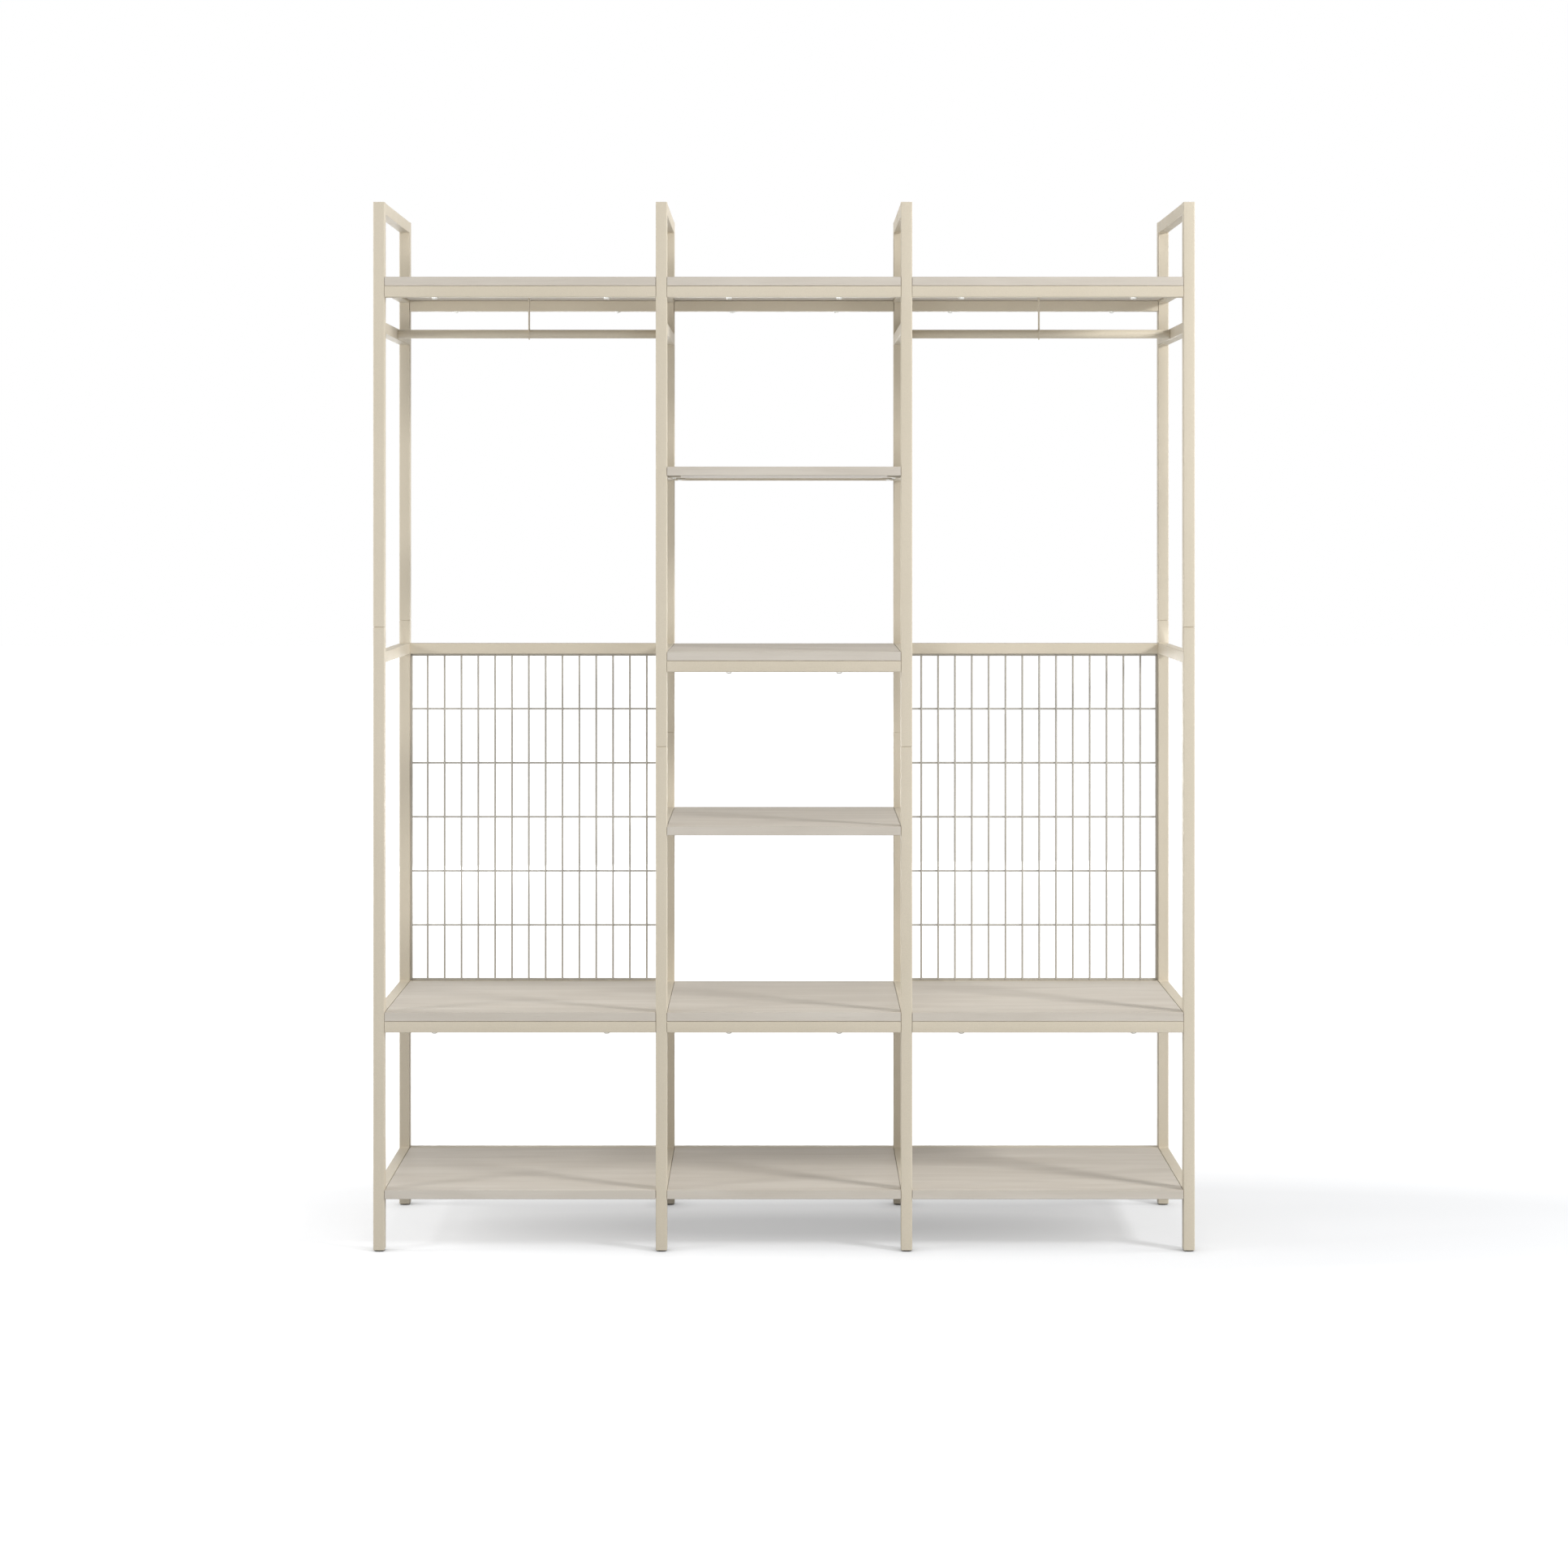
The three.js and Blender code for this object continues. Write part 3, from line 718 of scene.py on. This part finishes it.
def middle_of_posts(name):
    """Where a side frame stands across the width, kept precise as a bead's ring count hangs on it"""
    low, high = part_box(name.replace("frame_", "foot_") + "_front")
    return (low.x + high.x) / 2


def rung_levels(node):
    """Heights of the upper and lower sides of a frame's rungs, which lie one tube apart"""
    shape = merged_shape(node)
    shape.normal_update()
    levels = {1: set(), -1: set()}
    for face in shape.faces:
        inside = abs(face.calc_center_median().y) < TUBE
        if abs(face.normal.z) > 0.999 and face.calc_area() > LEAST_RUNG_FACE and inside:
            levels[1 if face.normal.z > 0 else -1].add(round(face.verts[0].co.z, 5))
    shape.free()
    return [(high, low) for high in levels[1] for low in levels[-1]
            if abs(high - low - TUBE) < LEAST_GAP / 10]


# Operators

class WARDROBE_OT_side_frames(bpy.types.Operator):
    """Finish the eight halves of the side frames"""
    bl_idname = "wardrobe.side_frames"
    bl_label = "Side Frames"

    def execute(self, context):
        groove = context.scene.wardrobe_hardware.seam_groove
        for node in nodes_named("frame_"):
            name = node.rsplit("_", 1)[0]
            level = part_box(f"{name}_upper")[0].z
            middles = [Vector((foot.x, foot.y, level)) for foot in foot_middles(name)]

            def mark(shape):
                chamfer_tube_ends(shape, level, groove / 2, middles)
            soft_edged(node, "frame_coat", finish_named("powder_coat"), mark=mark)
        return {"FINISHED"}


class WARDROBE_OT_cross_rails(bpy.types.Operator):
    """Finish the cross rails between the side frames"""
    bl_idname = "wardrobe.cross_rails"
    bl_label = "Cross Rails"

    def execute(self, context):
        for node in nodes_named("rail_"):
            soft_edged(node, "frame_coat", finish_named("powder_coat"))
        return {"FINISHED"}


class WARDROBE_OT_shelf_panels(bpy.types.Operator):
    """Finish the shelf panels: laminated faces, and edging on the eased sides"""
    bl_idname = "wardrobe.shelf_panels"
    bl_label = "Shelf Panels"

    def execute(self, context):
        def mark(shape):
            shape.normal_update()
            for face in shape.faces:
                face.material_index = 0 if abs(face.normal.z) > 0.99 else 1
        for node in nodes_named("shelf_"):
            soft_edged(node, "panel_laminate", finish_named("laminate_face"),
                       finish_named("laminate_edging"), mark=mark)
        return {"FINISHED"}


class WARDROBE_OT_wire_grids(bpy.types.Operator):
    """Make the two welded wire grids"""
    bl_idname = "wardrobe.wire_grids"
    bl_label = "Wire Grids"

    def execute(self, context):
        bar, upright, level, weld = 5 * MM, 4.5 * MM, 4 * MM, 0.5 * MM
        pitch, rows, spot = 40.1 * MM, 6, 2.1 * MM
        pin, pin_reach, pin_inset, pin_lift = 3 * MM, 5 * MM, 150 * MM, 3 * MM
        low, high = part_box("grid_panel_left")
        span = high.x - low.x - bar
        rail_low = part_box("rail_grid_top_left")[0].z
        rail_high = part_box("rail_grid_bottom_left")[1].z
        rise = rail_low - rail_high - 2 * LEAST_GAP - bar
        uprights = round((high.x - low.x) / pitch) - 1
        pin_span = (high.x - low.x) + 2 * LEAST_GAP - 2 * pin_inset
        sizes = {
            "Bar": bar, "Bar span": span, "Bar rise": rise,
            "Upright wire": upright, "Upright depth": -(upright - weld) / 2, "Uprights": uprights,
            "Upright span": pitch * (uprights - 1), "Pitch": pitch,
            "Level wire": level, "Level depth": (level - weld) / 2, "Levels": rows - 1,
            "Level span": rise * (rows - 2) / rows, "Level pitch": rise / rows,
            "Weld spot": spot, "Pin": pin, "Pin reach": pin_reach, "Pin span": pin_span,
            "Pin rise": rise + bar + pin_lift, "Centre": (0.0, 0.0, 0.0),
        }
        tree = grid_tree(sizes, finish_named("wire_coat"))
        for side in ("left", "right"):
            node = f"grid_panel_{side}"
            low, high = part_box(node)
            depth = middle(f"rail_grid_top_{side}").y
            placed = {**sizes, "Centre": ((low.x + high.x) / 2, depth, (rail_low + rail_high) / 2)}
            piece = grown(f"wire_grid_{side}", mesh_of_places(node, []), tree, placed)
            fitted(settled(piece), CARCASE, "frame_coat", node)
        return {"FINISHED"}


class WARDROBE_OT_hanging_rods(bpy.types.Operator):
    """Make the hanging rods and the straps that carry them at mid-span"""
    bl_idname = "wardrobe.hanging_rods"
    bl_label = "Hanging Rods"

    def execute(self, context):
        coat = finish_named("powder_coat")
        for side in ("left", "right"):
            node = f"hanging_rod_{side}"
            low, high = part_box(node)
            centre = (low + high) / 2
            radius, wall, ease = (high.z - low.z) / 2, 1.2 * MM, 0.3 * MM
            reach = (high.x - low.x) / 2
            profile = [
                (radius - wall, -reach), (radius - ease, -reach), (radius, ease - reach),
                (radius, reach - ease), (radius - ease, reach), (radius - wall, reach)]
            rod = new_piece(f"rod_{side}", revolved(node, profile, centre, (1, 0, 0), ROUND_SIDES), coat)
            fitted(settled(rod), CARCASE, "frame_coat", node)
            self.strap(side, centre, radius, coat)
        return {"FINISHED"}

    def strap(self, side, rod_centre, rod_radius, coat):
        """A hanging plate with an eye round the rod, and a flange along the panel above"""
        node = f"rod_strap_{side}"
        low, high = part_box(node)
        ease = 0.25 * MM
        ring = (high.y - low.y) / 2
        top = high.z - rod_centre.z
        curve = bpy.data.curves.new(node, "CURVE")
        curve.dimensions = "2D"
        curve.fill_mode = "BOTH"
        curve.extrude = STRAP_THICK / 2 - ease
        curve.bevel_depth = ease
        curve.bevel_resolution = 2
        steps = 32
        outer = [(ring - ease, top - ease), (ease - ring, top - ease)]
        for i in range(steps + 1):
            turn = math.pi + math.pi * i / steps
            outer.append(((ring - ease) * math.cos(turn), (ring - ease) * math.sin(turn)))
        eye = rod_radius + 2 * LEAST_GAP + ease
        turns = [2 * math.pi * i / ROUND_SIDES for i in range(ROUND_SIDES)]
        hole = [(eye * math.cos(turn), eye * math.sin(turn)) for turn in turns]
        for points in (outer, hole):
            spline = curve.splines.new("POLY")
            spline.points.add(len(points) - 1)
            spline.use_cyclic_u = True
            for point, (x, y) in zip(spline.points, points):
                point.co = (x, y, 0, 1)
        flat = bpy.data.objects.new(node, curve)
        bpy.context.scene.collection.objects.link(flat)
        graph = bpy.context.evaluated_depsgraph_get()
        mesh = bpy.data.meshes.new_from_object(flat.evaluated_get(graph), depsgraph=graph)
        bpy.data.objects.remove(flat)
        shape = bmesh.new()
        shape.from_mesh(mesh)
        bmesh.ops.remove_doubles(shape, verts=shape.verts[:], dist=MERGE_GAP)
        for vert in shape.verts:
            across, up, out = vert.co
            vert.co = (rod_centre.x + out, rod_centre.y + across, rod_centre.z + up)
        outward = 1 if middle(node).x > rod_centre.x else -1
        flange = bmesh.ops.create_cube(shape, size=1.0)["verts"]
        reach = (high.x if outward > 0 else -low.x) - outward * rod_centre.x
        for vert in flange:
            vert.co = (rod_centre.x + outward * (vert.co.x + 0.5) * reach,
                       rod_centre.y + vert.co.y * 2 * ring, high.z + (vert.co.z - 0.5) * STRAP_THICK)
        edges = list({edge for vert in flange for edge in vert.link_edges})
        bmesh.ops.bevel(shape, geom=edges, offset=0.3 * MM, segments=2, affect="EDGES")
        bmesh.ops.recalc_face_normals(shape, faces=shape.faces[:])
        piece = new_piece(f"strap_{side}", mesh_of(shape, node), coat)
        fitted(settled(piece), CARCASE, "frame_coat", node)


class WARDROBE_OT_levelling_feet(bpy.types.Operator):
    """Make the feet: nylon pads, threaded studs and the inserts in the posts"""
    bl_idname = "wardrobe.levelling_feet"
    bl_label = "Levelling Feet"

    def execute(self, context):
        hardware = context.scene.wardrobe_hardware
        play, bare_end = 0.02 * MM, 0.75 * MM
        sizes = {"Radius": STUD_RADIUS - play, "Length": STUD_LENGTH - 2 * bare_end,
                 "Core length": STUD_LENGTH, "Pitch": float(hardware.thread_pitch)}
        tree = thread_tree(sizes, finish_named("bright_zinc"))
        for node in nodes_named("foot_"):
            body = frame["nodes"][node]["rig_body"]
            if node.startswith("foot_insert"):
                soft_edged(node, "insert_zinc", finish_named("dull_zinc"))
                continue
            low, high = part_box(node)
            centre = Vector(((low.x + high.x) / 2, (low.y + high.y) / 2, low.z))
            radius = (high.x - low.x) / 2
            # A dished base, a rounded rim and a flat top
            profile = [
                (0, 0.35 * MM), (radius - 3.4 * MM, 0.35 * MM),
                (radius - 3 * MM, 0), (radius - 0.8 * MM, 0), (radius - 0.25 * MM, 0.2 * MM),
                (radius, 0.8 * MM), (radius, PAD_THICK - 0.9 * MM),
                (radius - 0.3 * MM, PAD_THICK - 0.3 * MM), (radius - 1 * MM, PAD_THICK), (0, PAD_THICK)]
            glide = new_piece(f"{node}_pad", revolved(node, profile, centre, (0, 0, 1), ROUND_SIDES),
                              finish_named("moulded_nylon"))
            fitted(settled(glide), body, "foot_nylon", node)
            place = mesh_of_places(f"{node}_stud", [centre + Vector((0, 0, PAD_THICK + bare_end))])
            thread = grown(f"{node}_stud", place, tree, sizes)
            fitted(settled(thread), body, "insert_zinc", node)
        return {"FINISHED"}


class WARDROBE_OT_panel_bolts(bpy.types.Operator):
    """Make the bolts that come up through the rails into the panels"""
    bl_idname = "wardrobe.panel_bolts"
    bl_label = "Panel Bolts"

    def execute(self, context):
        hardware = context.scene.wardrobe_hardware
        places = []
        for rail in BOLTED_RAILS:
            low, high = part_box(rail)
            inset = BOLT_INSET.get(rail.split("_")[-1], BOLT_INSET["centre"])
            for x in (low.x - LEAST_GAP + inset, high.x + LEAST_GAP - inset):
                places.append((x, (low.y + high.y) / 2, low.z))
        sizes = {
            "Head radius": hardware.bolt_head / 2, "Head height": hardware.bolt_head_height,
            "Shank radius": hardware.bolt_shank / 2, "Shank length": hardware.bolt_length,
            "Recess width": hardware.bolt_socket, "Recess depth": hardware.bolt_head_height * 1.3,
        }
        tree = fastener_tree("socket_bolts", sizes, finish_named("bright_zinc"), cross=False)
        bolts = grown("panel_bolts", mesh_of_places("panel_bolts", places), tree, sizes)
        fitted(settled(bolts, FASTENER_SHARP), CARCASE, "insert_zinc")
        return {"FINISHED"}


class WARDROBE_OT_tab_screws(bpy.types.Operator):
    """Make the screws that hold the panels to the frames' tabs, and the straps to their panels"""
    bl_idname = "wardrobe.tab_screws"
    bl_label = "Tab Screws"

    def execute(self, context):
        hardware = context.scene.wardrobe_hardware
        low, high = CAD_BOX
        tab_y = {-1: low.y + TUBE + TAB_INSET, 1: high.y - TUBE - TAB_INSET}
        places = []
        for shelf in nodes_named("shelf_"):
            if shelf.startswith("shelf_top"):
                continue
            ends = (1,) if shelf.startswith(("shelf_middle", "shelf_lower")) else (-1, 1)
            corner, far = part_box(shelf)
            for end in ends:
                for x in (corner.x - PANEL_PLAY + TAB_WIDTH / 2, far.x + PANEL_PLAY - TAB_WIDTH / 2):
                    places.append((x, tab_y[end], corner.z - LEAST_GAP - TAB_THICK))
        for side in ("left", "right"):
            corner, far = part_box(f"rod_strap_{side}")
            centre = (corner + far) / 2
            for offset in (-STRAP_SCREW_OFFSET, STRAP_SCREW_OFFSET):
                places.append((centre.x, centre.y + offset, far.z - STRAP_THICK))
        sizes = {
            "Head radius": hardware.screw_head / 2, "Head height": 2.6 * MM,
            "Shank radius": 1.9 * MM, "Shank length": 15 * MM,
            "Recess width": hardware.screw_head * 0.5, "Recess slot": hardware.screw_head * 0.13,
            "Recess depth": 3.2 * MM,
        }
        tree = fastener_tree("cross_screws", sizes, finish_named("bright_zinc"), cross=True)
        screws = grown("tab_screws", mesh_of_places("tab_screws", places), tree, sizes)
        fitted(settled(screws, FASTENER_SHARP), CARCASE, "insert_zinc")
        return {"FINISHED"}


class WARDROBE_OT_weld_beads(bpy.types.Operator):
    """Make the weld beads where the rungs meet the posts"""
    bl_idname = "wardrobe.weld_beads"
    bl_label = "Weld Beads"

    def execute(self, context):
        hardware = context.scene.wardrobe_hardware
        inner = (CAD_BOX[1].y - CAD_BOX[0].y) / 2 - TUBE
        half = 10.5 * MM
        sizes = {"Bead radius": float(hardware.weld_size), "Ripple": 2.4 * MM}
        tree = bead_tree(sizes, finish_named("powder_coat"))
        for node in nodes_named("frame_"):
            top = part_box(node)[1].z
            points, edges = [], []
            x = middle_of_posts(node.rsplit("_", 1)[0])
            heights = [level for pair in rung_levels(node) for level in pair]
            for level in sorted(level for level in heights if level < top - TUBE / 2):
                for side in (-1, 1):
                    start = len(points)
                    points += [(x - half, side * inner, level), (x + half, side * inner, level)]
                    edges.append((start, start + 1))
            beads = grown(f"{node}_welds", mesh_of_places(node, points, edges), tree, sizes)
            fitted(settled(beads, BEAD_SHARP), CARCASE, "frame_coat")
        return {"FINISHED"}


class WARDROBE_OT_stage(bpy.types.Operator):
    """Set the floor, the light and the camera"""
    bl_idname = "wardrobe.stage"
    bl_label = "Stage"

    def execute(self, context):
        stage = context.scene.wardrobe_stage
        self.camera(context, stage)
        self.floor(stage)
        self.surroundings(context, stage)
        for name, (power, size, place) in LAMPS.items():
            self.lamp(name, getattr(stage, power), size, place)
        context.scene.view_settings.view_transform = "Standard"
        return {"FINISHED"}

    def camera(self, context, stage):
        data = bpy.data.cameras.new("camera")
        data.lens, data.sensor_width = stage.lens, 36
        data.shift_y = stage.shift
        data.clip_start, data.clip_end = 0.05, 200
        view = bpy.data.objects.new("camera", data)
        view.location = (0, CAD_BOX[0].y - stage.camera_distance, stage.camera_height)
        view.rotation_euler = (math.pi / 2, 0, 0)
        context.scene.collection.objects.link(view)
        context.scene.camera = view

    def floor(self, stage):
        """White to the camera away from the object, with the object's shadow left on it, and painted
        shade in the glow: weaker beside the object and dimmed by occlusion round its feet, with painted
        light making it brighter to the left
        """
        material, tree, shader = blank_material("studio_floor")
        tree.nodes.remove(shader)
        path = add(tree, "ShaderNodeLightPath")
        matt = add(tree, "ShaderNodeBsdfDiffuse", {"Color": opaque(stage.floor_colour)})
        place = add(tree, "ShaderNodeTexCoord").outputs["Object"]
        spread = add(tree, "ShaderNodeMapping", {"Vector": place, "Scale": GLOW_PLAN}).outputs[0]
        way = add(tree, "ShaderNodeVectorMath", {0: spread}, operation="LENGTH").outputs["Value"]
        beside = calc(tree, "ADD", between(tree, way, *GLOW_NEAR), between(tree, way, *GLOW_FAR))
        across = add(tree, "ShaderNodeSeparateXYZ", {"Vector": place}).outputs["X"]
        # Painted light: the glow tilts across the floor, brighter to the left
        painted_light_and_shade_glow = calc(tree, "ADD", beside, between(tree, across, *PAINTED_LIGHT_ACROSS))
        # Painted contact shade: occlusion dims the glow beside the feet and posts
        painted_contact_shade = add(tree, "ShaderNodeAmbientOcclusion", {"Distance": PAINTED_CONTACT_REACH},
                          samples=3).outputs["AO"]
        seen = calc(tree, "MAXIMUM", path.outputs["Is Camera Ray"], path.outputs["Is Glossy Ray"])
        glow = add(tree, "ShaderNodeEmission", {
            "Strength": calc(tree, "MULTIPLY", seen,
                             calc(tree, "MULTIPLY", painted_light_and_shade_glow, painted_contact_shade))})
        both = add(tree, "ShaderNodeAddShader", {0: matt.outputs[0], 1: glow.outputs[0]})
        tree.links.new(both.outputs[0], tree.nodes["Material Output"].inputs["Surface"])
        shape = bmesh.new()
        bmesh.ops.create_grid(shape, x_segments=1, y_segments=1, size=FLOOR_HALF)
        ground = new_piece("floor", mesh_of(shape, "floor"), material)

    def surroundings(self, context, stage):
        world = bpy.data.worlds.new("studio")
        context.scene.world = world
        world.use_nodes = True
        tree = world.node_tree
        path = add(tree, "ShaderNodeLightPath")
        seen = calc(tree, "MAXIMUM", path.outputs["Is Camera Ray"],
                    calc(tree, "MAXIMUM", path.outputs["Is Glossy Ray"],
                         path.outputs["Is Transmission Ray"]))
        level = between(tree, seen, stage.sky_level, 1.0, 0, 1)
        backdrop = tree.nodes["Background"]
        backdrop.inputs["Color"].default_value = (1, 1, 1, 1)
        tree.links.new(level, backdrop.inputs["Strength"])

    def lamp(self, name, power, size, place):
        """A flat lamp that faces the middle of the wardrobe and isn't seen itself"""
        data = bpy.data.lights.new(name, "AREA")
        data.shape = "RECTANGLE"
        data.size, data.size_y = size
        data.energy = power
        lamp = bpy.data.objects.new(name, data)
        lamp.location = place
        lamp.rotation_euler = (Vector(place) - Vector(LAMP_AIM)).to_track_quat("Z", "Y").to_euler()
        lamp.visible_camera = False
        bpy.context.scene.collection.objects.link(lamp)


class VIEW3D_PT_wardrobe(bpy.types.Panel):
    """Sidebar list of the wardrobe's pieces, sizes and colours"""
    bl_label = "Wardrobe"
    bl_space_type = "VIEW_3D"
    bl_region_type = "UI"
    bl_category = "Wardrobe"

    def draw(self, context):
        for group in ("wardrobe_finishes", "wardrobe_hardware", "wardrobe_stage"):
            box = self.layout.box()
            values = getattr(context.scene, group)
            for name in values.__annotations__:
                box.prop(values, name)
        for operator in OPERATORS:
            self.layout.operator(operator.bl_idname)


GROUPS = {
    "wardrobe_finishes": WardrobeFinishes,
    "wardrobe_hardware": WardrobeHardware,
    "wardrobe_stage": WardrobeStage,
}
OPERATORS = (
    WARDROBE_OT_stage,
    WARDROBE_OT_side_frames,
    WARDROBE_OT_cross_rails,
    WARDROBE_OT_shelf_panels,
    WARDROBE_OT_wire_grids,
    WARDROBE_OT_hanging_rods,
    WARDROBE_OT_levelling_feet,
    WARDROBE_OT_panel_bolts,
    WARDROBE_OT_tab_screws,
    WARDROBE_OT_weld_beads,
)


def register():
    for made in (*GROUPS.values(), *OPERATORS, VIEW3D_PT_wardrobe):
        bpy.utils.register_class(made)
    for name, group in GROUPS.items():
        setattr(bpy.types.Scene, name, bpy.props.PointerProperty(type=group))


def unregister():
    for name in GROUPS:
        delattr(bpy.types.Scene, name)
    for made in reversed((*GROUPS.values(), *OPERATORS, VIEW3D_PT_wardrobe)):
        bpy.utils.unregister_class(made)


def main():
    register()
    for operator in OPERATORS:
        module, name = operator.bl_idname.split(".")
        getattr(getattr(bpy.ops, module), name)()


if __name__ == "__main__":
    main()
